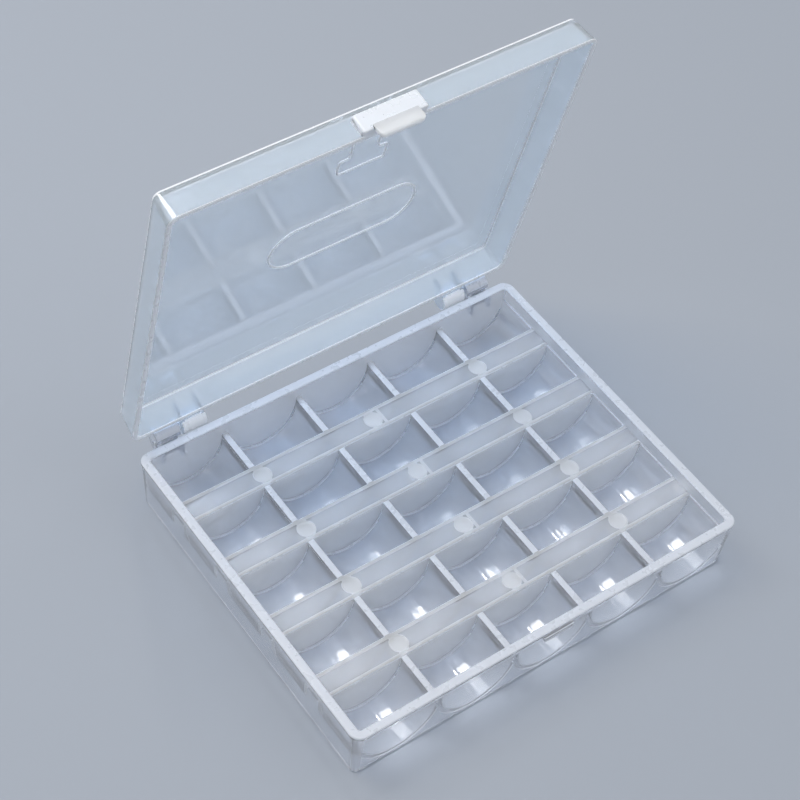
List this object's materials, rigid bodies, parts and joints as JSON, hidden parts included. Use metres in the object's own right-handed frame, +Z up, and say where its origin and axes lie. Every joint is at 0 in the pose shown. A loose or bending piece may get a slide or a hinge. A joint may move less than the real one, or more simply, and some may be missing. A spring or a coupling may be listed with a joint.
{
  "type": "bobbin box",
  "caption": "Shallow clear box with rows of rounded cradles for sewing bobbins, a pin-hinged lid and a flexing snap latch.",
  "frame": {"origin": "middle of the tray's underside, where the middle cradle's floor meets the table", "axes": "+X along the hinge line, +Y towards the hinge side, +Z up"},
  "size_m": [0.122, 0.1122, 0.1225],
  "materials": {
    "tray_plastic": "milky translucent polypropylene",
    "lid_plastic": "milky translucent polypropylene, glossier inner face",
    "latch_plastic": "the same plastic, thicker and whiter"
  },
  "bodies": {
    "tray": {"tray_walls": "tray_plastic", "cradle_row_1": "tray_plastic", "cradle_row_2": "tray_plastic", "cradle_row_3": "tray_plastic", "cradle_row_4": "tray_plastic", "cradle_row_5": "tray_plastic", "bridge_1": "tray_plastic", "bridge_2": "tray_plastic", "bridge_3": "tray_plastic", "bridge_4": "tray_plastic", "tray_knuckle_left": "tray_plastic", "tray_knuckle_right": "tray_plastic", "catch_rib": "tray_plastic"},
    "lid": {"lid_shell": "lid_plastic", "lid_knuckle_left": "lid_plastic", "lid_knuckle_right": "lid_plastic", "label_outline": "lid_plastic", "spool_outline": "lid_plastic", "latch_plate": "latch_plastic"},
    "latch": {"latch_flap": "latch_plastic"}
  },
  "joints": [
    {"name": "lid_hinge", "type": "hinge", "parent": "tray", "child": "lid", "pos_m": [0, 0.05345, 0.0178], "axis": [-1, 0, 0], "range_deg": [-79, 101]},
    {"name": "latch_flex", "type": "hinge", "parent": "lid", "child": "latch", "pos_m": [0, 0.03374, 0.12182], "axis": [-1, 0, 0], "range_deg": [0, 20], "stiffness_Nm_per_rad": 0.02}
  ]
}
